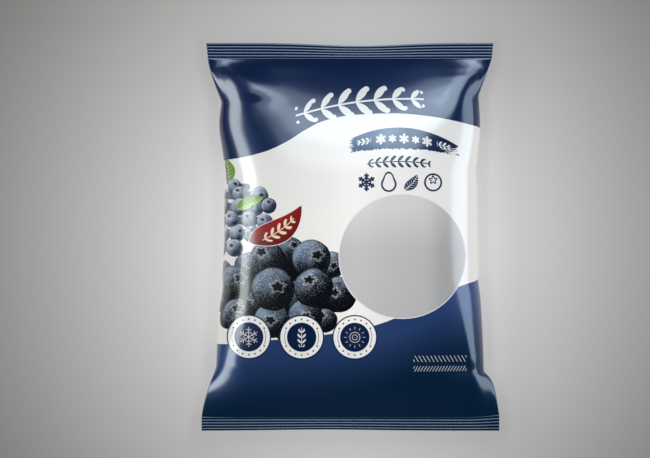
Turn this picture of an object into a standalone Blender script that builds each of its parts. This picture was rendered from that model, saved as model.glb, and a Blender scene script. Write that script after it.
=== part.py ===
"""A sealed pillow bag of frozen fruit, lying on its back with the printed face up.

Metres, +Z up. The bag's length runs along Y with its top at +Y, and its width along X.
The origin is on the surface that the bag rests on, under the middle of its outline.
One closed body: the film stays shut round its contents.
"""

import math

import bmesh
import bpy
import numpy as np

# Length and seals
LENGTH = 0.338
TOP_SEAL = 0.0137
BOTTOM_SEAL = 0.0117
TOP_END_HALF = (0.1258, 0.1246)
TOP_SEAL_HALF = (0.1243, 0.1232)
BOTTOM_SEAL_HALF = (0.1298, 0.1298)
SEAL_THICK = 0.0008
RIB_DEPTH = 0.00036
TOP_PITCH = 0.00260
BOTTOM_PITCH = 0.00245
# Seal edges that the filled middle draws in: how far, at which x and over what length
TOP_BOW = (0.0026, 0.008, 0.048)
BOTTOM_BOW = (0.0010, -0.022, 0.060)
# and how far the bottom seal's inner line lifts towards its right end
LINE_LIFT = 0.0018
LIFT_FROM = -0.125
LIFT_ACROSS = (0.104, 0.134)

# Thickness: the seals lie at SEAL_LEVEL, the back meets the table and the front rises above
SEAL_LEVEL = 0.020
FRONT_RISE = 0.044
BACK_FULLNESS = 1.45
BACK_CURVE = 2.6
# How the front falls away above and below the middle
SWELL_POWER = (2.43, 2.64)
# Where the round sides turn into the ears' sharp ones: start, length, edge power (left, right)
TOP_TURN = ((0.1394, 0.0120, 1.18), (0.1387, 0.0176, 1.31))
BOTTOM_TURN = ((-0.1108, -0.0236, 1.02), (-0.1044, -0.0221, 0.854))
BODY_CURVE = 2.0
EAR_CURVES = (4.0, 3.74)
FIN_WIDTH = 0.014
FIN_STEP = 0.0004
FIN_LIP = 0.0008

# Half width of the filled body, for the left side and the right side
BODY_HALF = (0.1101, 0.1110)
SHOULDER_SWELL = (0.0044, 0.0021)
SHOULDER_AT = 0.098
SHOULDER_SPAN = 0.023
FOOT_SWELL = (0.0068, 0.0052)
FOOT_FROM = 0.008
FOOT_TO = -0.116
# where the sides draw in a little, how deep and over what length
UPPER_NIP = ((0.052, 0.056), 0.0014, 0.011)
LOWER_NIP = ((-0.047, -0.038), 0.0011, 0.009)

# Ears: how far each corner draws in, over what length, and how curved (left, right)
TOP_EAR = ((0.0113, 0.036, 1.35, 0.0), (0.0131, 0.036, 1.05, 0.0))
BOTTOM_EAR = ((0.0119, 0.0413, 1.4, 0.0), (0.0062, 0.0413, 1.0, 0.0095))

KINK_BLEND = 0.0009

# Soft swells of the front near its corners: x, y, turn in degrees, half length, half width, height
CORNER_SWELLS = (
    (-0.1002, 0.1326, 112.0, 0.0292, 0.0081, 0.0010),
    (-0.0846, 0.1310, 149.0, 0.0185, 0.0142, 0.0037),
    (0.0997, 0.1271, 71.5, 0.0240, 0.0060, 0.0007),
    (0.0921, 0.1220, 95.0, 0.0248, 0.0165, 0.0023),
    (-0.0934, -0.1160, 133.0, 0.0100, 0.0062, 0.0004),
    (0.1063, -0.1092, 100.2, 0.0450, 0.0062, 0.0010),
    (-0.0975, -0.0250, 90.0, 0.0500, 0.0120, 0.0009),
)

# Mesh
FRONT_COLUMNS = 48
BACK_HALF_COLUMNS = 10
BODY_ROWS = 58
SEAL_COLUMNS = 12
ROWS_PER_RIB = 4
ROW_CROWDING = 0.55
COLUMN_CROWDING = 0.6

FILM_COLOUR = (0.012, 0.030, 0.085, 1.0)

TOP_LINE = LENGTH / 2 - TOP_SEAL
BOTTOM_LINE = BOTTOM_SEAL - LENGTH / 2


def ease(start, end, value):
    """A smooth step from 0 at start to 1 at end."""
    part = np.clip((value - start) / (end - start), 0.0, 1.0)
    return part * part * (3.0 - 2.0 * part)


def bump(value, middle, span):
    return np.exp(-(((value - middle) / span) ** 2))


def larger(first, second, blend):
    """The larger of two lengths, with the corner between them rounded."""
    gap = first - second
    return (first + second + np.sqrt(gap * gap + blend * blend)) / 2.0


def body_half_width(y, side):
    width = BODY_HALF[side] + SHOULDER_SWELL[side] * bump(y, SHOULDER_AT, SHOULDER_SPAN)
    width = width + FOOT_SWELL[side] * ease(FOOT_FROM, FOOT_TO, y)
    for places, depth, span in (UPPER_NIP, LOWER_NIP):
        width = width - depth * bump(y, places[side], span)
    return width


def ear_half_width(distance, seal_half, ear):
    """Half width of a corner at a distance from its seal's inner line."""
    drop, reach, power, late_drop = ear
    part = np.maximum(distance, 0.0) / reach
    return seal_half - drop * part**power - late_drop * part**6


def half_width(y, side):
    """Half width of the bag at y: the body, or the ears where they are wider."""
    top = ear_half_width(TOP_LINE - y, TOP_SEAL_HALF[side], TOP_EAR[side])
    bottom = ear_half_width(y - BOTTOM_LINE, BOTTOM_SEAL_HALF[side], BOTTOM_EAR[side])
    width = larger(body_half_width(y, side), np.maximum(top, bottom), KINK_BLEND)
    flare = (TOP_END_HALF[side] - TOP_SEAL_HALF[side]) * (y - TOP_LINE) / TOP_SEAL
    width = np.where(y > TOP_LINE, TOP_SEAL_HALF[side] + flare, width)
    return np.where(y < BOTTOM_LINE, BOTTOM_SEAL_HALF[side], width)


def swell(y):
    """How full the bag is at y: 0 at the seals, 1 in the middle."""
    middle = (TOP_LINE + BOTTOM_LINE) / 2
    reach = (TOP_LINE - BOTTOM_LINE) / 2
    off = np.clip((y - middle) / reach, -1.0, 1.0)
    return 1.0 - np.abs(off) ** np.where(off > 0, *SWELL_POWER)


def ear_share(across, y, turns):
    """0 along the body and 1 out in the ears, with the edge power that the ears end with."""
    start, run, power = (np.where(across < 0, left, right) for left, right in zip(*turns))
    return ease(start, start + run, y), power


def section(across, y, curve):
    """Share of the full height across the bag, with round sides on the body and sharp ones on ears."""
    top, top_power = ear_share(across, y, TOP_TURN)
    bottom, bottom_power = ear_share(across, y, BOTTOM_TURN)
    power = 0.5 + (top_power - 0.5) * top + (bottom_power - 0.5) * bottom
    curve = curve + (EAR_CURVES[0] - curve) * top + (EAR_CURVES[1] - curve) * bottom
    return np.clip(1.0 - np.abs(across) ** curve, 0.0, 1.0) ** power


def corner_height(x, y):
    """Height that the soft swells add to the front film at (x, y)."""
    total = 0.0
    for at_x, at_y, turn, length, width, height in CORNER_SWELLS:
        turn = math.radians(turn)
        along = (x - at_x) * math.cos(turn) + (y - at_y) * math.sin(turn)
        aside = (y - at_y) * math.cos(turn) - (x - at_x) * math.sin(turn)
        total = total + height * np.exp(-((along / length) ** 2) - (aside / width) ** 2)
    return total


def front_level(across, y, x):
    """Height of the front film over the seals' level."""
    near_edge = ease(0.0, 0.008, (1.0 - np.abs(across)) * BODY_HALF[0])
    near_seal = ease(0.0, 0.010, TOP_LINE - y) * ease(0.0, 0.010, y - BOTTOM_LINE)
    filled = FRONT_RISE * swell(y) * section(across, y, BODY_CURVE)
    return filled + corner_height(x, y) * near_edge * near_seal


def back_depth(across, y):
    """Depth of the back film under the seals' level, flat where it meets the table."""
    full = np.clip(BACK_FULLNESS * swell(y) ** 0.9 * section(across, y, BACK_CURVE), 0.0, 1.0)
    return (SEAL_LEVEL - SEAL_THICK / 2) * (1.0 - (1.0 - full) ** 2)


def drawn(x, y):
    """The y of a place once the contents have drawn in the seals' outer edges."""
    top = np.clip((y - TOP_LINE) / TOP_SEAL, 0.0, 1.0)
    bottom = np.clip((BOTTOM_LINE - y) / BOTTOM_SEAL, 0.0, 1.0)
    inner = ease(LIFT_FROM, BOTTOM_LINE, y) * (1.0 - bottom)
    sag = TOP_BOW[0] * bump(x, *TOP_BOW[1:]) * top
    rise = BOTTOM_BOW[0] * bump(x, *BOTTOM_BOW[1:]) * bottom
    return y - sag + rise + LINE_LIFT * ease(*LIFT_ACROSS, x) * inner


def width_at(across, y):
    """The X of a place across the bag, from -1 at its left edge to 1 at its right edge."""
    return np.where(across < 0, across * half_width(y, 0), across * half_width(y, 1))


def crowded(count, crowding):
    """Even steps from -1 to 1, drawn closer together at both ends."""
    even = np.linspace(-1.0, 1.0, count + 1)
    return (1.0 - crowding) * even + crowding * np.sin(even * math.pi / 2)


def front_row(y):
    across = crowded(FRONT_COLUMNS, COLUMN_CROWDING)
    x = width_at(across, y)
    z = SEAL_LEVEL + SEAL_THICK / 2 + front_level(across, y, x)
    return np.column_stack((x, drawn(x, y), z))


def back_row(y):
    """Right edge to left edge, with close columns at the edges of the folded back seam."""
    fin = FIN_WIDTH / 2 / half_width(y, 1)
    lip = (FIN_WIDTH / 2 + FIN_LIP) / half_width(y, 1)
    half = lip + (1.0 - lip) * np.sin(np.linspace(0.0, math.pi / 2, BACK_HALF_COLUMNS))
    across = np.concatenate((half[::-1], (fin, 0.0, -fin), -half))
    x = width_at(across, y)
    depth = back_depth(across, y)
    on_fin = np.abs(across) <= fin
    low = np.where(on_fin & (depth > FIN_STEP), FIN_STEP, 0.0)
    z = np.maximum(SEAL_LEVEL - SEAL_THICK / 2 - depth - low, 0.0)
    return np.column_stack((x, drawn(x, y), z))


def seal_row(y, pitch, line):
    """Front edge left to right, then back edge right to left, of one line across a seal."""
    across = np.linspace(-1.0, 1.0, SEAL_COLUMNS + 1)
    x = width_at(across, y)
    groove = RIB_DEPTH * (1.0 + math.sin(2 * math.pi * (y - line) / pitch)) / 2
    top = np.full(x.shape, SEAL_LEVEL + SEAL_THICK / 2 - groove)
    front = np.column_stack((x, drawn(x, y), top))
    back = front - (0.0, 0.0, SEAL_THICK)
    return front, back[::-1]


class Shell:
    """Collects rows of points and the faces between them."""

    def __init__(self):
        self.points = []
        self.faces = []

    def add(self, row):
        first = len(self.points)
        self.points.extend(tuple(point) for point in row)
        return list(range(first, len(self.points)))

    def strip(self, lower, upper):
        """Four-sided faces between two rows that have the same number of points."""
        for i in range(len(lower) - 1):
            self.faces.append((lower[i], lower[i + 1], upper[i + 1], upper[i]))

    def fan(self, fine, coarse):
        """Faces from a fine row to a coarse one, each coarse step taking equal fine steps."""
        steps = len(coarse) - 1
        marks = [round(i * (len(fine) - 1) / steps) for i in range(steps + 1)]
        for i in range(steps):
            start, end = marks[i], marks[i + 1]
            self.faces.append(tuple(fine[start : end + 1]) + (coarse[i + 1], coarse[i]))


def body_lines():
    """The y of each row of the filled body, closer together near the seals."""
    share = crowded(BODY_ROWS, ROW_CROWDING)
    middle = (TOP_LINE + BOTTOM_LINE) / 2
    return middle + share * (TOP_LINE - BOTTOM_LINE) / 2


def add_seal(shell, front_edge, back_edge, line, length, pitch):
    """A ribbed seal of a signed length along Y, from the body's last rows to the bag's end."""
    step = pitch / ROWS_PER_RIB
    distances = [step * i for i in range(1, int(abs(length) / step) + 1)] + [abs(length)]
    last_front, last_back = front_edge, back_edge
    for distance in distances:
        front, back = seal_row(line + math.copysign(distance, length), pitch, line)
        front = shell.add(front)
        back = shell.add(back)
        shell.fan(last_front, front)
        shell.fan(last_back, back)
        shell.faces.append((last_front[-1], last_back[0], back[0], front[-1]))
        shell.faces.append((last_back[-1], last_front[0], front[0], back[-1]))
        last_front, last_back = front, back
    shell.strip(last_front, last_back[::-1])


def bag_mesh():
    shell = Shell()
    rows = [(shell.add(front_row(y)), shell.add(back_row(y))) for y in body_lines()]
    for (front, back), (next_front, next_back) in zip(rows, rows[1:]):
        shell.strip(front, next_front)
        shell.strip(back, next_back)
        shell.faces.append((front[-1], back[0], next_back[0], next_front[-1]))
        shell.faces.append((back[-1], front[0], next_front[0], next_back[-1]))
    add_seal(shell, *rows[-1], TOP_LINE, TOP_SEAL, TOP_PITCH)
    add_seal(shell, *rows[0], BOTTOM_LINE, -BOTTOM_SEAL, BOTTOM_PITCH)
    mesh = bpy.data.meshes.new("bag")
    mesh.from_pydata(shell.points, [], shell.faces)
    return mesh


def face_outwards(mesh):
    work = bmesh.new()
    work.from_mesh(mesh)
    bmesh.ops.recalc_face_normals(work, faces=work.faces)
    work.to_mesh(mesh)
    work.free()


def film_material():
    material = bpy.data.materials.new("printed film")
    material.use_nodes = True
    surface = material.node_tree.nodes["Principled BSDF"]
    surface.inputs["Base Color"].default_value = FILM_COLOUR
    surface.inputs["Roughness"].default_value = 0.3
    surface.inputs["Metallic"].default_value = 0.0
    return material


def main():
    for thing in list(bpy.data.objects):
        bpy.data.objects.remove(thing)
    mesh = bag_mesh()
    face_outwards(mesh)
    mesh.shade_smooth()
    mesh.materials.append(film_material())
    bag = bpy.data.objects.new("bag", mesh)
    bpy.context.scene.collection.objects.link(bag)


main()
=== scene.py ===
"""The looks of a sealed pillow bag of frozen fruit that lies on its back, printed front up.

Metres, in the frame's own axes: +Y is the top of the print, +X its right side, +Z up.
"""

import functools
import math

import bpy
import numpy as np
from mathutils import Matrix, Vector


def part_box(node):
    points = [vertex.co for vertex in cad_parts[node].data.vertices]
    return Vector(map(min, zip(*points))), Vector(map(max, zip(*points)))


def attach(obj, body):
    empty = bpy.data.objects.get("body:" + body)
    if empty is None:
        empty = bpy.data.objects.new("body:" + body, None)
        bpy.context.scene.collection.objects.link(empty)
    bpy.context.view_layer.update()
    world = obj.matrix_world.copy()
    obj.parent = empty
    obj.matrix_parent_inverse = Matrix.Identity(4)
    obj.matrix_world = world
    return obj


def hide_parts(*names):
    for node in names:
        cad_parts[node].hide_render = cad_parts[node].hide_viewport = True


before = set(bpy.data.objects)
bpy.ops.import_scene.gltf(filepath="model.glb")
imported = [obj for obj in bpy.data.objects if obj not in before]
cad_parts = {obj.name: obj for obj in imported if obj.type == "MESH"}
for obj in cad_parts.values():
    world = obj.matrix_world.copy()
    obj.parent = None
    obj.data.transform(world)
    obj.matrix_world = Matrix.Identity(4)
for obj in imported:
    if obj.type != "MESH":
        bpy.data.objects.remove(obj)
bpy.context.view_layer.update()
low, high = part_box("bag")

# ---------------------------------------------------------------- sizes of the bag

LENGTH = high[1] - low[1]
BOTTOM_SEAL_HALF = (high[0] - low[0]) / 2
HEIGHT = high[2] - low[2]

TOP_SEAL = 0.0137
BOTTOM_SEAL = 0.0117
TOP_END_HALF = (0.1258, 0.1246)
TOP_SEAL_HALF = (0.1243, 0.1232)
SEAL_THICK = 0.0008
TOP_PITCH = 0.00260
BOTTOM_PITCH = 0.00245
TOP_RIB_DEPTH = 0.00026
BOTTOM_RIB_DEPTH = 0.00036
# seal edges that the filled middle draws in: how far, at which x and over what length
TOP_BOW = (0.0026, 0.008, 0.048)
BOTTOM_BOW = (0.0010, -0.022, 0.060)
# and how far the bottom seal's inner line lifts towards its right end
LINE_LIFT = 0.0018
LIFT_FROM = -0.125
LIFT_ACROSS = (0.104, 0.134)

SEAL_LEVEL = 0.020
FRONT_RISE = HEIGHT - SEAL_LEVEL - SEAL_THICK / 2
# how full the back is: its share of the depth under the seals, its fall lengthways and its curve across
BACK_FULLNESS = 1.45
BACK_FALL = 0.9
BACK_CURVE = 2.6
# how the front falls away above and below the middle, and how near its edges its swells die out
SWELL_POWER = (2.43, 2.64)
SIDE_MARGIN = 0.008
SEAL_MARGIN = 0.010
# where the round sides turn into the ears' sharp ones: start, length, edge power (left, right)
TOP_TURN = ((0.1394, 0.0120, 1.18), (0.1387, 0.0176, 1.31))
BOTTOM_TURN = ((-0.1108, -0.0236, 1.02), (-0.1044, -0.0221, 0.854))
BODY_CURVE = 2.0
EAR_CURVES = (4.0, 3.74)
FIN_WIDTH = 0.014
FIN_STEP = 0.0004

# half widths are given for the left side and the right side
BODY_HALF = (0.1101, 0.1110)
SHOULDER_SWELL = (0.0044, 0.0021)
SHOULDER_AT = 0.098
SHOULDER_SPAN = 0.023
FOOT_SWELL = (0.0068, 0.0052)
FOOT_FROM = 0.008
FOOT_TO = -0.116
UPPER_NIP = ((0.052, 0.056), 0.0014, 0.011)
LOWER_NIP = ((-0.047, -0.038), 0.0011, 0.009)
# ears by side: how far they narrow, over what length and by what power, and how far they then drop late
TOP_EAR = ((0.0113, 0.036, 1.35, 0.0), (0.0131, 0.036, 1.05, 0.0))
BOTTOM_EAR = ((0.0119, 0.0413, 1.4, 0.0), (0.0062, 0.0413, 1.0, 0.0095))
LATE_POWER = 6
KINK_BLEND = 0.0009

TOP_LINE = LENGTH / 2 - TOP_SEAL
BOTTOM_LINE = BOTTOM_SEAL - LENGTH / 2

# soft swells of the front near its corners: x, y, turn in degrees, half length, half width, height
CORNER_SWELLS = (
    (-0.1002, 0.1326, 112.0, 0.0292, 0.0081, 0.0010),
    (-0.0846, 0.1310, 149.0, 0.0185, 0.0142, 0.0037),
    (0.0997, 0.1271, 71.5, 0.0240, 0.0060, 0.0007),
    (0.0921, 0.1220, 95.0, 0.0248, 0.0165, 0.0023),
    (-0.0934, -0.1160, 133.0, 0.0100, 0.0062, 0.0004),
    (0.1063, -0.1092, 100.2, 0.0450, 0.0062, 0.0010),
    (-0.0975, -0.0250, 90.0, 0.0500, 0.0120, 0.0009),
)

FRONT_COLUMNS = 168
BACK_COLUMNS = 84
BODY_ROWS = 204
ROWS_PER_RIB = 8
ROW_CROWDING = 0.35
COLUMN_CROWDING = 0.6
PRINT_STRAIGHT = 0.965

# where the film's parts lie in the square that its finish is kept in: start and width across, start and
# height up, and the rows of the two ends' front and back edges
FRONT, RIGHT_BACK, LEFT_BACK, END = 0, 1, 2, 3
STRIPS = {FRONT: (0.004, 0.742), RIGHT_BACK: (0.754, 0.118), LEFT_BACK: (0.880, 0.116)}
STRIPS_UP = (0.02, 0.96)
END_RIMS = (0.012, 0.004)

# ---------------------------------------------------------------- the film's form


def ease(start, end, value):
    """A smooth step from 0 at start to 1 at end."""
    part = np.clip((value - start) / (end - start), 0.0, 1.0)
    return part * part * (3.0 - 2.0 * part)


def bump(value, middle, span):
    return np.exp(-(((value - middle) / span) ** 2))


def larger(first, second, blend):
    """The larger of two lengths, with the corner between them rounded."""
    gap = first - second
    return (first + second + np.sqrt(gap * gap + blend * blend)) / 2.0


def body_half_width(y, side):
    width = BODY_HALF[side] + SHOULDER_SWELL[side] * bump(y, SHOULDER_AT, SHOULDER_SPAN)
    width = width + FOOT_SWELL[side] * ease(FOOT_FROM, FOOT_TO, y)
    for places, depth, span in (UPPER_NIP, LOWER_NIP):
        width = width - depth * bump(y, places[side], span)
    return width


def ear_half_width(distance, seal_half, ear):
    """Half width of a corner at a distance from its seal's inner line."""
    drop, reach, power, late_drop = ear
    part = np.maximum(distance, 0.0) / reach
    return seal_half - drop * part**power - late_drop * part**LATE_POWER


def half_width(y, side):
    """Half width of the bag at y: the body, or the ears where they are wider."""
    top = ear_half_width(TOP_LINE - y, TOP_SEAL_HALF[side], TOP_EAR[side])
    bottom = ear_half_width(y - BOTTOM_LINE, BOTTOM_SEAL_HALF, BOTTOM_EAR[side])
    width = larger(body_half_width(y, side), np.maximum(top, bottom), KINK_BLEND)
    flare = (TOP_END_HALF[side] - TOP_SEAL_HALF[side]) * (y - TOP_LINE) / TOP_SEAL
    width = np.where(y > TOP_LINE, TOP_SEAL_HALF[side] + flare, width)
    return np.where(y < BOTTOM_LINE, BOTTOM_SEAL_HALF, width)


def width_at(across, y):
    """The X of a place across the bag, from -1 at its left edge to 1 at its right edge."""
    return np.where(across < 0, across * half_width(y, 0), across * half_width(y, 1))


def swell(y):
    """How full the bag is at y: 0 at the seals, 1 in the middle."""
    middle = (TOP_LINE + BOTTOM_LINE) / 2
    reach = (TOP_LINE - BOTTOM_LINE) / 2
    off = np.clip((y - middle) / reach, -1.0, 1.0)
    return 1.0 - np.abs(off) ** np.where(off > 0, *SWELL_POWER)


def ear_share(across, y, turns):
    """0 along the body and 1 out in the ears, with the edge power that the ears end with."""
    start, run, power = (np.where(across < 0, left, right) for left, right in zip(*turns))
    return ease(start, start + run, y), power


def section(across, y, curve):
    """Share of the full height across the bag, with round sides on the body and sharp ones on ears."""
    top, top_power = ear_share(across, y, TOP_TURN)
    bottom, bottom_power = ear_share(across, y, BOTTOM_TURN)
    power = 0.5 + (top_power - 0.5) * top + (bottom_power - 0.5) * bottom
    curve = curve + (EAR_CURVES[0] - curve) * top + (EAR_CURVES[1] - curve) * bottom
    return np.clip(1.0 - np.abs(across) ** curve, 0.0, 1.0) ** power


def corner_height(x, y):
    """Height that the soft swells add to the front film at (x, y)."""
    total = 0.0
    for at_x, at_y, turn, length, width, height in CORNER_SWELLS:
        turn = math.radians(turn)
        along = (x - at_x) * math.cos(turn) + (y - at_y) * math.sin(turn)
        aside = (y - at_y) * math.cos(turn) - (x - at_x) * math.sin(turn)
        total = total + height * np.exp(-((along / length) ** 2) - (aside / width) ** 2)
    return total


def front_level(across, y, x):
    """Height of the front film over the seals' level."""
    near_edge = ease(0.0, SIDE_MARGIN, (1.0 - np.abs(across)) * BODY_HALF[0])
    near_seal = ease(0.0, SEAL_MARGIN, TOP_LINE - y) * ease(0.0, SEAL_MARGIN, y - BOTTOM_LINE)
    filled = FRONT_RISE * swell(y) * section(across, y, BODY_CURVE)
    return filled + corner_height(x, y) * near_edge * near_seal


def back_depth(across, y):
    """Depth of the back film under the seals' level, flat where it meets the floor."""
    full = np.clip(BACK_FULLNESS * swell(y) ** BACK_FALL * section(across, y, BACK_CURVE), 0.0, 1.0)
    return (SEAL_LEVEL - SEAL_THICK / 2) * (1.0 - (1.0 - full) ** 2)


def drawn(x, y):
    """The y of a place once the contents have drawn in the seals' outer edges."""
    top = np.clip((y - TOP_LINE) / TOP_SEAL, 0.0, 1.0)
    bottom = np.clip((BOTTOM_LINE - y) / BOTTOM_SEAL, 0.0, 1.0)
    inner = ease(LIFT_FROM, BOTTOM_LINE, y) * (1.0 - bottom)
    sag = TOP_BOW[0] * bump(x, *TOP_BOW[1:]) * top
    rise = BOTTOM_BOW[0] * bump(x, *BOTTOM_BOW[1:]) * bottom
    return y - sag + rise + LINE_LIFT * ease(*LIFT_ACROSS, x) * inner


def crowded(count, crowding):
    """Even steps from -1 to 1, drawn closer together at both ends."""
    even = np.linspace(-1.0, 1.0, count + 1)
    return (1.0 - crowding) * even + crowding * np.sin(even * math.pi / 2)


def fine_lines(start, end, step):
    """The y of rows of points from just past start to end, one step apart."""
    count = int(abs(end - start) / step)
    way = math.copysign(1.0, end - start)
    return np.append(start + way * step * np.arange(1, count + 1), end)


def film_rows():
    """The y of every row from the bottom edge to the top edge, and how far above a seal's line it is."""
    last = TOP_LINE - TOP_PITCH / 4
    first = BOTTOM_LINE + 3 * BOTTOM_PITCH / 4
    body = (first + last) / 2 + crowded(BODY_ROWS, ROW_CROWDING) * (last - first) / 2
    top = fine_lines(last, LENGTH / 2, TOP_PITCH / ROWS_PER_RIB)
    bottom = fine_lines(first, -LENGTH / 2, BOTTOM_PITCH / ROWS_PER_RIB)[::-1]
    y = np.concatenate((bottom, body, top))
    above = np.where(y > 0, np.maximum(y, last) - TOP_LINE, np.minimum(y, first) - BOTTOM_LINE)
    return y, above


def arc_from(x, z):
    """Length along each row of points from its first point."""
    steps = np.hypot(np.diff(x, axis=1), np.diff(z, axis=1))
    return np.concatenate((np.zeros((len(x), 1)), np.cumsum(steps, axis=1)), axis=1)


def print_across(across, x, z):
    """Print coordinate across the front: plain X, then the film's own length round the sides."""
    middle = len(across) // 2
    right = arc_from(x[:, middle:], z[:, middle:])
    left = arc_from(x[:, middle::-1], z[:, middle::-1])
    out = x.copy()
    for half, sign, columns in ((right, 1, slice(middle, None)), (left, -1, slice(middle, None, -1))):
        place = np.abs(across[columns])
        turn = int(np.searchsorted(place, PRINT_STRAIGHT))
        beyond = half[:, turn:] - half[:, turn : turn + 1]
        straight = np.abs(x[:, columns])
        straight[:, turn:] = straight[:, turn : turn + 1] + beyond
        out[:, columns] = sign * straight
    return out


def bake_places(u, v, spots, seam, x):
    """Places in one square for every face corner: the wide front, two back strips and both ends."""
    row, c, zone = spots.T
    edges = {FRONT: (0, FRONT_COLUMNS), RIGHT_BACK: (FRONT_COLUMNS, seam), LEFT_BACK: (seam + 1, 0)}
    across = np.zeros(len(row))
    for strip, (first, last) in edges.items():
        share = (u[row, c] - u[row, first]) / (u[row, last] - u[row, first])
        start, width = STRIPS[strip]
        across = np.where(zone == strip, start + width * share, across)
    up = STRIPS_UP[0] + STRIPS_UP[1] * (v[row, c] / LENGTH + 0.5)
    on_end = zone == END
    start, width = STRIPS[FRONT]
    across = np.where(on_end, start + width * (x / (2 * BOTTOM_SEAL_HALF) + 0.5), across)
    rim = np.where(c <= FRONT_COLUMNS, *END_RIMS)
    up = np.where(on_end, np.where(row == 0, rim, 1.0 - rim), up)
    return np.column_stack((across, up))


def film_mesh():
    """The whole film as one closed skin, with its flat print coordinates in the map 'print'."""
    rows, past_line = film_rows()
    across_front = crowded(FRONT_COLUMNS, COLUMN_CROWDING)
    across_back = crowded(BACK_COLUMNS, COLUMN_CROWDING)[::-1]
    front_s, front_y = np.meshgrid(across_front, rows)
    back_s, back_y = np.meshgrid(across_back, rows)
    front_x = width_at(front_s, front_y)
    back_x = width_at(back_s, back_y)
    front_z = SEAL_LEVEL + SEAL_THICK / 2 + front_level(front_s, front_y, front_x)
    back_z = SEAL_LEVEL - SEAL_THICK / 2 - back_depth(back_s, back_y)
    fin = ease(FIN_WIDTH / 2 + FIN_STEP, FIN_WIDTH / 2, np.abs(back_x))
    rising = ease(0.0, FIN_STEP, SEAL_LEVEL - SEAL_THICK / 2 - back_z)
    back_z = np.maximum(back_z - FIN_STEP * fin * rising, 0.0)
    front_v = drawn(front_x, front_y)
    back_v = drawn(back_x, back_y)

    points = np.concatenate(
        (np.stack((front_x, front_v, front_z), -1), np.stack((back_x, back_v, back_z), -1)), axis=1
    )
    ring = points.shape[1]
    first_back = FRONT_COLUMNS + 1
    middle = BACK_COLUMNS // 2

    # the print's columns repeat the back's middle one, where the two edges of the film meet
    front_u = print_across(across_front, front_x, front_z)
    back_arc = arc_from(back_x, back_z)
    right_u = front_u[:, -1:] + back_arc[:, : middle + 1]
    left_u = front_u[:, :1] - (back_arc[:, -1:] - back_arc[:, middle:])
    u = np.concatenate((front_u, right_u, left_u), axis=1)
    v = np.concatenate((front_v, back_v[:, : middle + 1], back_v[:, middle:]), axis=1)
    column = np.concatenate((np.arange(first_back + middle + 1), np.arange(first_back + middle, ring)))

    seam = first_back + middle
    pairs = [(c, (c + 1) % len(column)) for c in range(len(column)) if c != seam]
    faces = []
    places = []
    for row in range(len(rows) - 1):
        base, above = row * ring, (row + 1) * ring
        for c, d in pairs:
            zone = FRONT if c < FRONT_COLUMNS else RIGHT_BACK if c < seam else LEFT_BACK
            faces.append((base + column[c], base + column[d], above + column[d], above + column[c]))
            places.extend(((row, c, zone), (row, d, zone), (row + 1, d, zone), (row + 1, c, zone)))
    share = FRONT_COLUMNS // BACK_COLUMNS
    for row, flip in ((0, False), (len(rows) - 1, True)):
        base = row * ring
        for i in range(BACK_COLUMNS):
            front = [share * i + k for k in range(share + 1)]
            back = [ring - 1 - i, ring - 2 - i]
            loop = front + back[::-1]
            if not flip:
                loop = loop[::-1]
            faces.append([base + c for c in loop])
            places.extend((row, c if c <= seam else c + 1, END) for c in loop)

    mesh = bpy.data.meshes.new("film")
    mesh.from_pydata(points.reshape(-1, 3).tolist(), [], [list(map(int, face)) for face in faces])
    spots = np.array(places)
    flat = np.column_stack((u[spots[:, 0], spots[:, 1]], v[spots[:, 0], spots[:, 1]]))
    mesh.uv_layers.new(name="print").data.foreach_set("uv", flat.ravel())
    bake = bake_places(u, v, spots, seam, points[spots[:, 0], column[spots[:, 1]], 0])
    mesh.uv_layers.new(name="OFBake").data.foreach_set("uv", bake.ravel())
    above_line = mesh.attributes.new("above_seal_line", "FLOAT", "POINT")
    above_line.data.foreach_set("value", np.repeat(past_line, ring))
    mesh.shade_smooth()
    return mesh


# ---------------------------------------------------------------- pressed ribs of the seals


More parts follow.
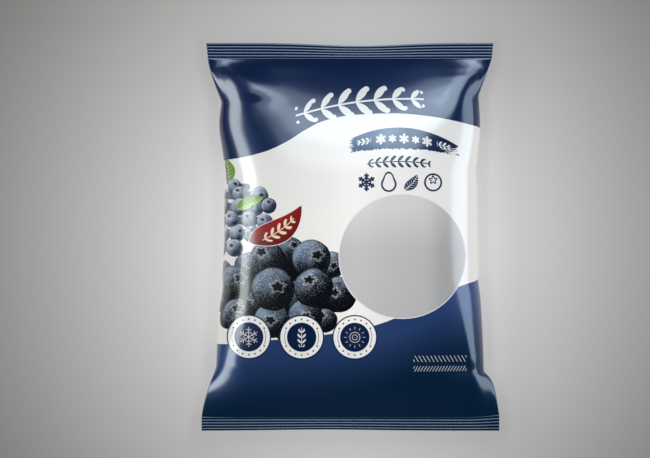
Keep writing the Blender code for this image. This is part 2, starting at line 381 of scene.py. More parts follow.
class Tree:
    """Short ways to add and join nodes."""

    def __init__(self, tree):
        self.tree = tree

    def node(self, kind, **settings):
        made = self.tree.nodes.new(kind)
        for name, value in settings.items():
            setattr(made, name, value)
        return made

    def join(self, value, socket):
        """Links a socket, or sets a plain value."""
        if isinstance(value, bpy.types.NodeSocket):
            self.tree.links.new(value, socket)
        elif value is not None:
            socket.default_value = value

    def math(self, operation, *values, clamp=False):
        made = self.node("ShaderNodeMath", operation=operation, use_clamp=clamp)
        for value, socket in zip(values, made.inputs):
            self.join(value, socket)
        return made.outputs[0]

    plus = functools.partialmethod(math, "ADD")
    minus = functools.partialmethod(math, "SUBTRACT")
    times = functools.partialmethod(math, "MULTIPLY")
    over = functools.partialmethod(math, "DIVIDE")
    scaled = functools.partialmethod(math, "MULTIPLY_ADD")
    size = functools.partialmethod(math, "ABSOLUTE")
    most = functools.partialmethod(math, "MAXIMUM")
    least = functools.partialmethod(math, "MINIMUM")
    near = functools.partialmethod(math, "COMPARE")
    below = functools.partialmethod(math, "LESS_THAN")

    def past(self, value, half):
        """How far a value lies beyond a half width on either side of 0."""
        return self.minus(self.size(value), half)

    def square(self, value):
        return self.times(value, value)

    def wave(self, value, half):
        """The value in cells that repeat, from minus half to half in each."""
        return self.math("WRAP", value, half, -half)

    def cells(self, value, first, pitch):
        """Place in a cell of a row of them, measured from its middle, and that cell's number."""
        off = self.minus(value, first)
        return self.wave(off, pitch / 2), self.math("ROUND", self.over(off, pitch))

    def any_of(self, masks):
        return functools.reduce(self.most, masks)

    def numbered(self, index, masks):
        """Whichever of some masks stands at a number in their row, or none."""
        chosen = [self.times(mask, self.near(index, float(n), 0.4)) for n, mask in enumerate(masks)]
        return functools.reduce(self.plus, chosen)

    def vector(self, operation, first, second=None, scale=None):
        made = self.node("ShaderNodeVectorMath", operation=operation)
        self.join(first, made.inputs[0])
        self.join(second, made.inputs[1])
        if scale is not None:
            self.join(scale, made.inputs["Scale"])
        return made.outputs["Value" if operation in ("LENGTH", "DOT_PRODUCT", "DISTANCE") else "Vector"]

    length = functools.partialmethod(vector, "LENGTH")

    def combine(self, x=0.0, y=0.0, z=0.0):
        made = self.node("ShaderNodeCombineXYZ")
        for value, socket in zip((x, y, z), made.inputs):
            self.join(value, socket)
        return made.outputs[0]

    def split(self, vector, count=2):
        made = self.node("ShaderNodeSeparateXYZ")
        self.join(vector, made.inputs[0])
        return made.outputs[:count]

    def mix(self, share, first, second):
        """Colours mixed by a share from 0 to 1."""
        made = self.node("ShaderNodeMix", data_type="RGBA")
        self.join(share, made.inputs[0])
        self.join(first, made.inputs[6])
        self.join(second, made.inputs[7])
        return made.outputs[2]

    def turned(self, place, turn):
        """A place in axes that are turned about Z by an angle."""
        made = self.node("ShaderNodeVectorRotate", rotation_type="Z_AXIS", invert=True)
        self.join(place, made.inputs["Vector"])
        self.join(turn, made.inputs["Angle"])
        return made.outputs[0]

    def noise(self, place, scale, detail, output=0):
        made = self.node("ShaderNodeTexNoise", noise_dimensions="2D")
        for name, value in (("Vector", place), ("Scale", scale), ("Detail", detail)):
            self.join(value, made.inputs[name])
        return made.outputs[output]

    def shaken(self, place, scale, size):
        """A place with a small push in the plane that changes from place to place."""
        centred = self.vector("SUBTRACT", self.noise(place, scale, 1.0, output=1), (0.5, 0.5, 0.5))
        return self.vector("ADD", place, self.vector("MULTIPLY", centred, (size, size, 0.0)))

    def place(self, group, **values):
        """Puts a group in the tree; an underscore in a name stands for a space."""
        made = self.node("ShaderNodeGroup", node_tree=group)
        for name, value in values.items():
            self.join(value, made.inputs[name.replace("_", " ")])
        return made.outputs

    def give(self, **values):
        """Joins what a group gives to its outputs, and returns the group."""
        outputs = self.node("NodeGroupOutput").inputs
        for name, value in values.items():
            self.join(value, outputs[name])
        return self.tree

    def step(self, value, start, end, low=0.0, high=1.0, smooth=True):
        """Maps a value's run from start to end onto low to high, held at both."""
        made = self.node("ShaderNodeMapRange", interpolation_type="SMOOTHSTEP" if smooth else "LINEAR")
        for item, socket in zip((value, start, end, low, high), made.inputs):
            self.join(item, socket)
        return made.outputs[0]

    def inside(self, gap):
        """1 where a distance to a shape's edge is below 0, with a soft edge."""
        return self.step(gap, EDGE, -EDGE)


def rib_tree():
    """Presses ribs across both seals by how far each place is above their inner lines."""
    group = bpy.data.node_groups.new("pressed ribs", "GeometryNodeTree")
    face = group.interface
    face.new_socket("Film", in_out="INPUT", socket_type="NodeSocketGeometry")
    for name in ("Top Pitch", "Bottom Pitch", "Top Depth", "Bottom Depth"):
        face.new_socket(name, in_out="INPUT", socket_type="NodeSocketFloat")
    face.new_socket("Finish", in_out="INPUT", socket_type="NodeSocketMaterial")
    face.new_socket("Film", in_out="OUTPUT", socket_type="NodeSocketGeometry")
    tree = Tree(group)
    given = tree.node("NodeGroupInput").outputs
    attribute = tree.node("GeometryNodeInputNamedAttribute", data_type="FLOAT")
    attribute.inputs["Name"].default_value = "above_seal_line"
    at_top = tree.math("GREATER_THAN", tree.split(tree.node("GeometryNodeInputPosition").outputs[0])[1], 0.0)
    for_end = {}
    for size in ("Pitch", "Depth"):
        pick = tree.node("ShaderNodeMix", data_type="FLOAT")
        tree.join(at_top, pick.inputs[0])
        tree.join(given["Bottom " + size], pick.inputs[2])
        tree.join(given["Top " + size], pick.inputs[3])
        for_end[size] = pick.outputs[0]
    turn = tree.times(tree.over(attribute.outputs["Attribute"], for_end["Pitch"]), 2 * math.pi)
    groove = tree.scaled(tree.math("SINE", turn), 0.5, 0.5)
    drop = tree.times(tree.times(groove, for_end["Depth"]), -1.0)
    move = tree.node("GeometryNodeSetPosition")
    tree.join(given["Film"], move.inputs["Geometry"])
    tree.join(tree.combine(z=drop), move.inputs["Offset"])
    real = tree.node("GeometryNodeRealizeInstances")
    tree.join(move.outputs[0], real.inputs[0])
    paint = tree.node("GeometryNodeSetMaterial")
    tree.join(real.outputs[0], paint.inputs["Geometry"])
    tree.join(given["Finish"], paint.inputs["Material"])
    tree.join(paint.outputs[0], tree.node("NodeGroupOutput").inputs[0])
    return group


def pressed(piece, finish):
    """The piece as a plain mesh once its seals have their ribs."""
    group = rib_tree()
    modifier = piece.modifiers.new("pressed ribs", "NODES")
    modifier.node_group = group
    values = {"Top Pitch": TOP_PITCH, "Bottom Pitch": BOTTOM_PITCH, "Finish": finish}
    values.update({"Top Depth": TOP_RIB_DEPTH, "Bottom Depth": BOTTOM_RIB_DEPTH})
    for item in group.interface.items_tree:
        if item.in_out == "INPUT" and item.name in values:
            modifier[item.identifier] = values[item.name]
    ready = piece.evaluated_get(bpy.context.evaluated_depsgraph_get())
    mesh = bpy.data.meshes.new_from_object(ready)
    piece.modifiers.clear()
    piece.data = mesh


def add_object(name, data):
    made = bpy.data.objects.new(name, data)
    bpy.context.scene.collection.objects.link(made)
    return made


# ---------------------------------------------------------------- inks, painted light and shade, and print places

NAVY = (0.0026, 0.0190, 0.0880, 1.0)
# painted light and shade: the lower navy field's lighter navy near its edge and darker navy far below it
LIT_LOW_NAVY = (0.0260, 0.0640, 0.2050, 1.0)
SHADED_LOW_NAVY = (0.0014, 0.0260, 0.0800, 1.0)
# painted shade: where the lower navy field deepens, by how far it is below its edge
LOW_FIELD_SHADE = (0.010, 0.062)
ICON_NAVY = (0.006, 0.022, 0.085, 1.0)
BANNER_NAVY = ((0.010, 0.046, 0.135, 1.0), (0.002, 0.016, 0.075, 1.0))
WHITE = (0.798, 0.768, 0.750, 1.0)
INK_WHITE = (0.800, 0.790, 0.780, 1.0)
CREAM = (0.80, 0.66, 0.50, 1.0)
BLACK = (0.0, 0.0, 0.0, 1.0)
FULL_WHITE = (1.0, 1.0, 1.0, 1.0)
WINDOW = (0.455, 0.445, 0.445, 1.0)
# painted highlight: the window's lighter grey towards its top
WINDOW_PAINTED_HIGHLIGHT = (0.600, 0.585, 0.585, 1.0)
WINDOW_RIM = (0.700, 0.680, 0.730, 1.0)
RED = (0.270, 0.0050, 0.0060, 1.0)
DEEP_RED = (0.140, 0.0025, 0.0035, 1.0)
LEAF_GREEN = (0.110, 0.270, 0.0140, 1.0)
DEEP_GREEN = (0.020, 0.080, 0.0060, 1.0)
PALE_GREEN = (0.430, 0.600, 0.190, 1.0)
FROST = (0.62, 0.68, 0.74, 1.0)
CROWN_HOLLOW = (0.006, 0.005, 0.006, 1.0)
BERRY_RIM = (0.002, 0.003, 0.005, 1.0)
# the berries' shade and bloom, how frosty they are and how fast the bloom fades
PALE_SKIN = ((0.012, 0.020, 0.060, 1.0), (0.50, 0.55, 0.72, 1.0), 0.20, 1.9)
DARK_SKIN = ((0.0014, 0.0032, 0.0075, 1.0), (0.200, 0.260, 0.360, 1.0), 0.70, 2.9)
PALE_GAP = (0.10, 0.11, 0.17, 1.0)
DARK_GAP = (0.003, 0.003, 0.005, 1.0)

# the film's finish: the most that a navy ink is metal, how red an ink with none and with all of that is,
# and the plain values of its shader
INK_SHEEN = 0.5
SHEEN_REDS = (0.06, 0.012)
FINISH = {"Roughness": 0.38, "IOR": 1.45, "Coat Weight": 1.0, "Coat Roughness": 0.15, "Coat IOR": 2.0}

EDGE = 0.00012
PRINT_REACH = 0.24

# the white band's upper and lower edges: points (x, y)
TOP_WAVE = (
    (-0.240, 0.0780),
    (-0.130, 0.0660),
    (-0.079, 0.0723),
    (-0.057, 0.0813),
    (-0.039, 0.0925),
    (-0.023, 0.1003),
    (0.022, 0.1065),
    (0.067, 0.1045),
    (0.130, 0.0920),
    (0.240, 0.0780),
)
BOTTOM_WAVE = (
    (-0.240, -0.0640),
    (-0.130, -0.0925),
    (-0.068, -0.0891),
    (-0.023, -0.0844),
    (0.020, -0.0765),
    (0.060, -0.0600),
    (0.094, -0.0430),
    (0.130, -0.0360),
    (0.240, -0.0640),
)

WINDOW_AT = (0.0447, -0.0168, 0.0)
WINDOW_RADIUS = 0.0553
WINDOW_SQUASH = 1.026
WINDOW_RIM_WIDTH = 0.0008
# the run of v over which the window is painted lighter towards its top, a painted highlight
WINDOW_HIGHLIGHT_RUN = (-0.020, 0.036)
# painted shade: a dimmer band down the window's right side, the shade in the valley beside the right side's
# ridge
WINDOW_PAINTED_SHADE = 0.20
WINDOW_SHADE_FROM = (0.062, 0.083)
WINDOW_SHADE_TO = (0.099, 0.087)

# dark berries from the back of their heap to its front: x, y, radius
DARK_HEAP = (
    (-0.0520, -0.0120, 0.0120),
    (-0.0160, -0.0240, 0.0115),
    (-0.0880, -0.0260, 0.0130),
    (-0.0500, -0.0520, 0.0140),
    (-0.0850, -0.0560, 0.0140),
    (-0.1130, -0.0300, 0.0100),
    (-0.1160, -0.0550, 0.0105),
    (-0.0560, -0.0800, 0.0105),
    (-0.0220, -0.0720, 0.0105),
    (-0.0850, -0.0780, 0.0100),
    (-0.0720, -0.0200, 0.0158),
    (-0.0340, -0.0190, 0.0168),
    (-0.1010, -0.0410, 0.0162),
    (-0.0970, -0.0680, 0.0148),
    (-0.0680, -0.0720, 0.0155),
    (-0.0100, -0.0480, 0.0140),
    (-0.0390, -0.0680, 0.0148),
    (-0.0320, -0.0440, 0.0168),
    (-0.0670, -0.0450, 0.0188),
)
# the dark gaps behind them: y, first x, last x, half height
DARK_GAPS = (
    (-0.0260, -0.0840, -0.0240, 0.0100),
    (-0.0500, -0.1040, -0.0100, 0.0150),
    (-0.0700, -0.1060, -0.0300, 0.0100),
)
# rows of pale berries from the back of their heap to its front: y, first x, last x, how many, radius
PALE_HEAP = (
    (0.0430, -0.100, -0.090, 1, 0.0070),
    (0.0360, -0.116, -0.078, 3, 0.0078),
    (0.0260, -0.111, -0.070, 4, 0.0075),
    (0.0140, -0.118, -0.074, 4, 0.0076),
    (0.0030, -0.113, -0.084, 3, 0.0078),
    (-0.0090, -0.118, -0.101, 2, 0.0085),
)
# how far the shade behind a pale row reaches, as a share of its berries' radius
PALE_FILL = 0.45
# the length over which the pale bunch grows paler by half towards its left
PALER_OVER = 0.040
DARK_HEAP_SEED = 5
PALE_HEAP_SEED = 12
# a berry place that is in no berry
NOWHERE = (9.0, 9.0, 0.0)
# how finely and how far the berries and their leaves are shaken out of true
SHAKE = (90.0, 0.0016)

# leaves: middle, turn, half length, half width, belly
HIGH_LEAF = ((-0.1085, 0.0570), 1.75, 0.0120, 0.0062, -0.0020)
LOW_LEAF = ((-0.0875, 0.0290), 0.36, 0.0128, 0.0047, 0.0012)
RED_LEAF = ((-0.0651, 0.0113), 0.60, 0.0274, 0.0105, -0.0070)
RED_LEAF_EDGE = ((-0.0651, 0.0113), 0.60, 0.0280, 0.0110, -0.0070)
ICON_LEAF = ((0.0, 0.0), 0.90, 0.0086, 0.0044, -0.0015)

# twigs: half length, bow, leaf, line; and where the free ones lie
RED_LEAF_TWIG = (0.0165, -0.0016, 0.0040, 0.0008)
RED_LEAF_TWIG_AT = (-0.0625, 0.0065, 0.0)
BADGE_TWIG = (0.0085, 0.0, 0.0027, 0.0005)
BANNER_TWIG = (0.0062, 0.0, 0.0022, 0.0005)
ICON_TWIG = (0.0275, 0.0022, 0.0038, 0.0009)
ICON_TWIG_AT = (0.0415, 0.0628, 0.0)
FLOURISH = (0.0560, 0.0050, 0.0092, 0.0015)
FLOURISH_AT = (0.0080, 0.1120, 0.0)
FLOURISH_TURN = 0.13

BADGE_FIRST = -0.0882
BADGE_PITCH = 0.04585
BADGE_Y = -0.0866
BADGE_RADII = (0.0194, 0.0183, 0.0127)
# a badge's ring of dots: their distance from its middle, radius and how many, and how high they start
BADGE_DOTS = (0.0155, 0.00075, 18)
BADGE_DOTS_FROM = 0.0065
BADGE_ARC = 0.0147
BADGE_HALF_LINE = 0.00022
# the third badge's rings, and its rays: middle distance, half length and how many
BADGE_RINGS = (0.0011, 0.0063)
BADGE_RAYS = (0.0081, 0.0010, 12)
BADGE_CRYSTAL = {"Radius": 0.0086, "Line": 0.00055}
BADGE_INK = 0.85

ICON_FIRST = 0.0135
ICON_PITCH = 0.0192
ICON_Y = 0.0470
ICON_BAND = 0.0095
ICON_LINE = 0.0016
ICON_CRYSTAL, ICON_DROP, ICON_FRUIT = 0.0078, 0.0076, 0.0071

BANNER_MIDDLE = 0.0460
BANNER_HALF = 0.0455
# the banner's upper edge, lower edge and row of marks: fall towards both ends, slope, height
BANNER_TOP = (-0.0122, -0.0026, 0.0944)
BANNER_BOTTOM = (-0.0042, -0.0012, 0.0760)
BANNER_ROW = (-0.0075, -0.0022, 0.0848)
BANNER_PITCH = 0.0100
BANNER_LINE = 0.00085
BANNER_TWIG_AT = 0.0345

MARKS_MIDDLE = 0.0775
MARKS_HALF = 0.0233
MARKS_HALF_LINE = 0.00030
MARKS_INK = 0.65
# rows of marks: y, slant, half pitch, half height
MARK_ROWS = ((-0.1055, 0.6, 0.0017, 0.0027), (-0.1142, -0.6, 0.0013, 0.0023))

BACK_PANEL_AT = 0.1830
BACK_PANEL_HALF = (0.0270, 0.0450)
BACK_PANEL_CORNER = 0.0080
BACK_PANEL_RIM = 0.0009
BACK_LINE_PITCH = 0.0076
BACK_LINE_HALF = 0.0006
BACK_LINE_INSET = 0.008
BACK_INK = 0.75


# ---------------------------------------------------------------- shapes that the print repeats

# the kinds of the groups' sockets that aren't plain numbers
VECTOR, COLOUR = "NodeSocketVector", "NodeSocketColor"
KINDS = {"Place": VECTOR, "Centre": VECTOR, "Found": VECTOR}
KINDS.update({"Shade": COLOUR, "Bloom": COLOUR, "Color": COLOUR})


def new_group(name, inputs, outputs):
    """An empty shader group with its sockets: its tree and what it is given."""
    group = bpy.data.node_groups.new(name, "ShaderNodeTree")
    for way, labels in (("INPUT", inputs), ("OUTPUT", outputs)):
        for label in labels:
            kind = KINDS.get(label, "NodeSocketFloat")
            group.interface.new_socket(label, in_out=way, socket_type=kind)
    tree = Tree(group)
    return tree, list(tree.node("NodeGroupInput").outputs)[: len(inputs)]


def leaf_shape():
    """A pointed leaf round its middle, with a rib and side veins."""
    inputs = ("Place", "Centre", "Turn", "Half Length", "Half Width", "Belly")
    tree, given = new_group("leaf shape", inputs, ("Cover", "Vein", "Rise"))
    place, centre, turn, half_length, half_width, belly = given
    x, y = tree.split(tree.turned(tree.vector("SUBTRACT", place, centre), turn))
    x = tree.over(x, half_length)
    left = tree.most(tree.scaled(tree.square(x), -1.0, 1.0), 0.0)
    middle = tree.times(left, tree.scaled(x, 0.5, 1.0))
    off = tree.minus(y, tree.times(middle, belly))
    half = tree.times(tree.math("POWER", left, 0.72), tree.scaled(x, -0.25, 1.0))
    half = tree.times(half, half_width)
    aside = tree.size(off)
    cover = tree.inside(tree.minus(aside, tree.minus(half, EDGE)))
    share = tree.over(aside, half_width)
    slant = tree.scaled(share, -0.30, x)
    side_vein = tree.below(tree.size(tree.wave(slant, 0.13)), 0.016)
    rib = tree.below(share, tree.scaled(x, -0.035, 0.055))
    inner = tree.below(aside, tree.times(half, 0.80))
    vein = tree.most(rib, tree.times(side_vein, inner))
    return tree.give(Cover=cover, Vein=tree.times(vein, cover), Rise=tree.over(off, half_width))


def snow_crystal():
    """A six-armed crystal with two pairs of branches on each arm, round the origin."""
    tree, (place, radius, line) = new_group("snow crystal", ("Place", "Radius", "Line"), ("Mask",))
    x, y = tree.split(place)
    turn = tree.size(tree.wave(tree.math("ARCTAN2", x, y), math.pi / 6))
    away = tree.length(place)
    along = tree.times(away, tree.math("COSINE", turn))
    aside = tree.times(away, tree.math("SINE", turn))
    half = tree.times(line, 0.5)
    masks = [tree.inside(tree.most(tree.minus(aside, half), tree.minus(along, radius)))]
    for from_middle, reach in ((0.36, 0.26), (0.64, 0.30)):
        start = tree.scaled(radius, -from_middle, along)
        across = tree.minus(tree.times(start, 0.87), tree.times(aside, 0.50))
        out = tree.plus(tree.times(start, 0.50), tree.times(aside, 0.87))
        too_far = tree.scaled(radius, -reach, out)
        masks.append(tree.inside(tree.most(tree.past(across, half), too_far)))
    return tree.give(Mask=tree.any_of(masks))


def fruit_mark():
    """A line drawing of a round berry with its crown, round the origin."""
    tree, (place, radius, line) = new_group("fruit mark", ("Place", "Radius", "Line"), ("Mask",))
    half = tree.times(line, 0.5)
    ring = tree.size(tree.minus(tree.length(place), radius))
    crown = tree.vector("SUBTRACT", place, tree.combine(y=tree.times(radius, 0.30)))
    points = tree.math("COSINE", tree.times(tree.math("ARCTAN2", *tree.split(crown)), 5.0))
    star = tree.times(radius, tree.scaled(points, 0.12, 0.34))
    crown_ring = tree.size(tree.minus(tree.length(crown), star))
    return tree.give(Mask=tree.inside(tree.minus(tree.least(ring, crown_ring), half)))


def drop_mark():
    """A line drawing of a drop that points up, round the origin."""
    tree, (place, radius, line) = new_group("drop mark", ("Place", "Radius", "Line"), ("Mask",))
    x, y = tree.split(place)
    down = tree.scaled(radius, 0.22, y)
    away = tree.length(tree.combine(x, down))
    up = tree.most(tree.over(down, tree.most(away, 0.00001)), 0.0)
    tip = tree.scaled(tree.math("POWER", up, 7.0), 0.55, 0.78)
    off = tree.size(tree.minus(away, tree.times(radius, tip)))
    return tree.give(Mask=tree.inside(tree.scaled(line, -0.5, off)))


def sprig():
    """A bowed stem along X with pairs of leaves and small fruit, round the origin."""
    inputs = ("Place", "Half Length", "Bow", "Leaf", "Line")
    tree, (place, half_length, bow, leaf, line) = new_group("sprig", inputs, ("Mask",))
    x, y = tree.split(place)
    square = tree.square(tree.over(x, half_length))
    bend = tree.times(bow, tree.scaled(square, -1.0, 1.0))
    aside = tree.size(tree.minus(y, bend))
    size = tree.times(leaf, tree.scaled(square, -0.45, 1.0))
    pitch = tree.times(leaf, 0.85)
    back = tree.times(pitch, -1.0)
    cell = tree.math("WRAP", x, pitch, back)
    in_leaf = tree.turned(tree.combine(tree.plus(cell, tree.times(size, 0.35)), aside), 0.80)
    along, across = tree.split(in_leaf)
    along = tree.minus(tree.over(along, size), 1.05)
    leaves = tree.past(across, tree.times(size, tree.scaled(tree.square(along), -0.34, 0.34)))
    other = tree.math("WRAP", tree.plus(x, pitch), pitch, back)
    hang = tree.minus(aside, tree.times(size, 1.15))
    fruit = tree.minus(tree.length(tree.combine(other, hang)), tree.times(size, 0.26))
    stem = tree.minus(aside, tree.times(line, 0.5))
    mask = tree.most(tree.inside(leaves), tree.inside(tree.least(stem, fruit)))
    return tree.give(Mask=tree.times(mask, tree.inside(tree.past(x, half_length))))


def berry_place():
    """Lays one round berry over those found so far: place inside it in X and Y, its tone in Z."""
    inputs = ("Place", "Found", "Centre", "Radius", "Tone")
    tree, (place, found, centre, radius, tone) = new_group("berry place", inputs, ("Found",))
    gap = tree.vector("SUBTRACT", place, centre)
    local = tree.vector("SCALE", gap, scale=tree.over(1.0, radius))
    hit = tree.below(tree.length(local), 1.0)
    marked = tree.vector("ADD", local, tree.combine(z=tone))
    pick = tree.node("ShaderNodeMix", data_type="VECTOR")
    for value, number in ((hit, 0), (found, 4), (marked, 5)):
        tree.join(value, pick.inputs[number])
    return tree.give(Found=pick.outputs[1])


def berry_skin():
    """Bloom, frost, shade and crown of whatever berry was found."""
    inputs = ("Found", "Shade", "Bloom", "Frost", "Depth")
    tree, (found, shade_ink, bloom_ink, frost, depth) = new_group("berry skin", inputs, ("Color", "Cover"))
    x, y, tone = tree.split(found, 3)
    place = tree.combine(x, y)
    away = tree.length(place)
    front = tree.math("SQRT", tree.most(tree.scaled(tree.square(away), -1.0, 1.0), 0.0))
    lit = tree.vector("DOT_PRODUCT", tree.combine(x, y, front), (-0.42, 0.60, 0.68))
    lit = tree.math("MULTIPLY_ADD", lit, 1.05, -0.05, clamp=True)

    # bloom that comes and goes over the skin, and specks of frost where it is lit
    apart = tree.vector("ADD", place, tree.combine(tree.times(tone, 37.0), tree.times(tone, 53.0)))
    grain = tree.noise(apart, 14.0, 4.0)
    bloom = lit
    for value, share in ((tree.noise(apart, 1.7, 3.0), 0.9), (grain, 0.60), (tone, 0.30)):
        bloom = tree.scaled(tree.minus(value, 0.5), share, bloom)
    bloom = tree.scaled(tree.step(away, 0.62, 0.98), 0.30, bloom)
    amount = tree.math("POWER", tree.step(bloom, 0.05, 1.15, smooth=False), depth)
    colour = tree.mix(amount, shade_ink, bloom_ink)
    speck = tree.times(tree.step(grain, 0.57, 0.70), tree.scaled(tree.square(lit), 0.92, 0.05))
    colour = tree.mix(tree.times(speck, frost), colour, FROST)

    # the star-shaped crown: a dark hollow and a pale lip, turned and placed by the berry's tone
    sway = tree.times(tree.math("SINE", tree.times(tone, 61.0)), 0.34)
    lift = tree.scaled(tree.math("COSINE", tree.times(tone, 83.0)), 0.26, 0.20)
    crown = tree.vector("SUBTRACT", place, tree.combine(sway, lift))
    crown = tree.vector("MULTIPLY", crown, (2.9, 3.6, 0.0))
    points = tree.scaled(tree.math("ARCTAN2", *tree.split(crown)), 5.0, tree.times(tone, 40.0))
    star = tree.scaled(tree.math("COSINE", points), 0.20, 1.0)
    star = tree.scaled(tree.minus(grain, 0.5), 1.2, star)
    reach = tree.over(tree.length(crown), star)
    lip = tree.times(tree.step(reach, 0.62, 0.92), tree.step(reach, 1.08, 0.96))
    hollow = tree.step(reach, 0.95, 0.60)
    colour = tree.mix(tree.times(hollow, 0.92), colour, CROWN_HOLLOW)
    colour = tree.mix(tree.times(lip, tree.scaled(lit, 0.45, 0.10)), colour, FROST)

    rim = tree.times(tree.step(away, 0.90, 1.0), tree.scaled(lit, -0.35, 0.90))
    return tree.give(Color=tree.mix(rim, colour, BERRY_RIM), Cover=tree.below(away, 1.0))


# ---------------------------------------------------------------- the parts of the print


def wave_height(tree, u, points):
    """The height of a field's edge at u, by a smooth curve through a few points."""
    curve = tree.node("ShaderNodeFloatCurve")
    curve.mapping.use_clip = False
    line = curve.mapping.curves[0]
    span = 2 * PRINT_REACH
    scaled = [((x + PRINT_REACH) / span, (y + PRINT_REACH) / span) for x, y in points]
    line.points[0].location = scaled[0]
    line.points[1].location = scaled[-1]
    for spot in scaled[1:-1]:
        line.points.new(*spot)
    curve.mapping.update()
    curve.inputs["Factor"].default_value = 1.0
    tree.join(tree.step(u, -PRINT_REACH, PRINT_REACH, smooth=False), curve.inputs["Value"])
    return tree.scaled(curve.outputs[0], span, -PRINT_REACH)


def put_leaf(tree, groups, place, centre, turn, half_length, half_width, belly):
    """A leaf's cover, veins and rise."""
    sizes = {"Half_Length": half_length, "Half_Width": half_width, "Belly": belly}
    return tree.place(groups["leaf"], Place=place, Centre=(*centre, 0.0), Turn=turn, **sizes)


def put_twig(tree, groups, place, half_length, bow, leaf, line):
    sizes = {"Half_Length": half_length, "Bow": bow, "Leaf": leaf, "Line": line}
    return tree.place(groups["sprig"], Place=place, **sizes)["Mask"]


def moved(tree, flat, middle, turn=None):
    """Places measured from a middle, in axes turned by an angle."""
    place = tree.vector("SUBTRACT", flat, middle)
    return place if turn is None else tree.turned(place, turn)


def pale_berries():
    """Centre, radius and tone of each berry of the bunch in rows, paler towards its left."""
    draw = np.random.RandomState(PALE_HEAP_SEED)
    berries = []
    for y, first, last, count, radius in PALE_HEAP:
        for x in draw.permutation(np.linspace(first, last, count)):
            shift = draw.uniform(-0.16, 0.16, 2) * radius
            size = radius * draw.uniform(0.90, 1.10)
            paler = 0.5 * (PALE_HEAP[-1][2] - x) / PALER_OVER
            tone = float(np.clip(draw.uniform(0.0, 1.0) + paler, 0.0, 1.0))
            berries.append(((x + shift[0], y + shift[1], 0.0), size, tone))
    return berries


def dark_berries():
    """Centre, radius and tone of each berry of the heap."""
    tones = np.random.RandomState(DARK_HEAP_SEED).uniform(0.0, 1.0, len(DARK_HEAP)).tolist()
    return [((x, y, 0.0), radius, tone) for (x, y, radius), tone in zip(DARK_HEAP, tones)]


def lay_heap(tree, groups, flat, colour, berries, skin, uneven, gaps, gap_ink):
    """A heap of berries over the dark gaps between them: y, first x, last x and half height of each."""
    found = NOWHERE
    for centre, radius, tone in berries:
        sizes = {"Centre": centre, "Radius": radius, "Tone": tone}
        found = tree.place(groups["berry"], Place=uneven, Found=found, **sizes)["Found"]
    shade, bloom, frost, depth = skin
    heap = tree.place(groups["skin"], Found=found, Shade=shade, Bloom=bloom, Frost=frost, Depth=depth)
    x = tree.split(flat)[0]
    shades = []
    for y, first, last, half in gaps:
        held = tree.least(tree.most(x, first), last)
        away = tree.vector("DISTANCE", flat, tree.combine(held, y))
        shades.append(tree.inside(tree.minus(away, half)))
    colour = tree.mix(tree.any_of(shades), colour, gap_ink)
    return tree.mix(heap["Cover"], colour, heap["Color"])


def add_berries(tree, flat, colour, groups):
    """A pale bunch at the left edge and a dark heap under it, with their leaves."""
    uneven = tree.shaken(flat, *SHAKE)

    leaf = put_leaf(tree, groups, uneven, *HIGH_LEAF)
    green = tree.mix(tree.step(leaf["Rise"], -0.9, 0.9), LEAF_GREEN, DEEP_GREEN)
    colour = tree.mix(leaf["Cover"], colour, tree.mix(leaf["Vein"], green, PALE_GREEN))

    gaps = [(y, first, last, PALE_FILL * radius) for y, first, last, unused, radius in PALE_HEAP]
    colour = lay_heap(tree, groups, flat, colour, pale_berries(), PALE_SKIN, uneven, gaps, PALE_GAP)
    leaf = put_leaf(tree, groups, uneven, *LOW_LEAF)
    green = tree.mix(tree.step(leaf["Rise"], -0.9, 0.9), PALE_GREEN, LEAF_GREEN)
    colour = tree.mix(leaf["Cover"], colour, tree.mix(leaf["Vein"], green, LEAF_GREEN))
    return lay_heap(tree, groups, flat, colour, dark_berries(), DARK_SKIN, uneven, DARK_GAPS, DARK_GAP)


def add_red_leaf(tree, flat, colour, groups):
    """A red leaf with a thin pale outline and a cream twig along it."""
    edge = put_leaf(tree, groups, flat, *RED_LEAF_EDGE)
    leaf = put_leaf(tree, groups, flat, *RED_LEAF)
    red = tree.mix(tree.step(leaf["Rise"], 0.9, -1.0), RED, DEEP_RED)
    colour = tree.mix(edge["Cover"], colour, INK_WHITE)
    colour = tree.mix(leaf["Cover"], colour, red)
    twig = put_twig(tree, groups, moved(tree, flat, RED_LEAF_TWIG_AT, RED_LEAF[1]), *RED_LEAF_TWIG)
    return tree.mix(twig, colour, CREAM)


